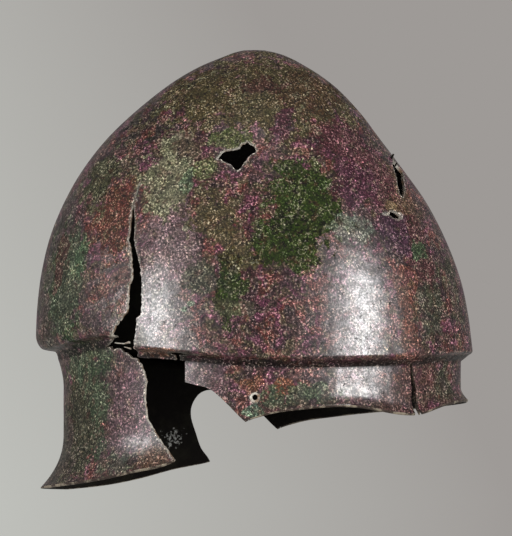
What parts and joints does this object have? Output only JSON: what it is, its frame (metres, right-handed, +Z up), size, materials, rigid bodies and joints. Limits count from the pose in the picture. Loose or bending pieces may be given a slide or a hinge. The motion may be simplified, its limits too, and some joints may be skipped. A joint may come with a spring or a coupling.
{
  "type": "helmet",
  "caption": "Tall pointed ancient bronze helmet of one raised sheet, with a low brow band, ear cut-outs and a deep flared neck guard, torn and cracked as found.",
  "frame": {"origin": "centre of the bounding box's footprint, on the plane under the neck guard's foot and under the peak", "axes": "+Z up through the peak; the wearer faces -Y; the wearer's right side, with the tears, is at -X"},
  "size_m": [0.186, 0.2396, 0.2403],
  "materials": {
    "dome_bronze": "mottled purple-brown and green patina, satin",
    "guard_bronze": "green-brown patina, satin",
    "band_bronze": "brown patina with green and orange spots, satin"
  },
  "bodies": {
    "root": {"dome": "dome_bronze", "neck_guard": "guard_bronze", "brow_band_right": "band_bronze", "brow_band_left": "band_bronze"}
  },
  "joints": []
}
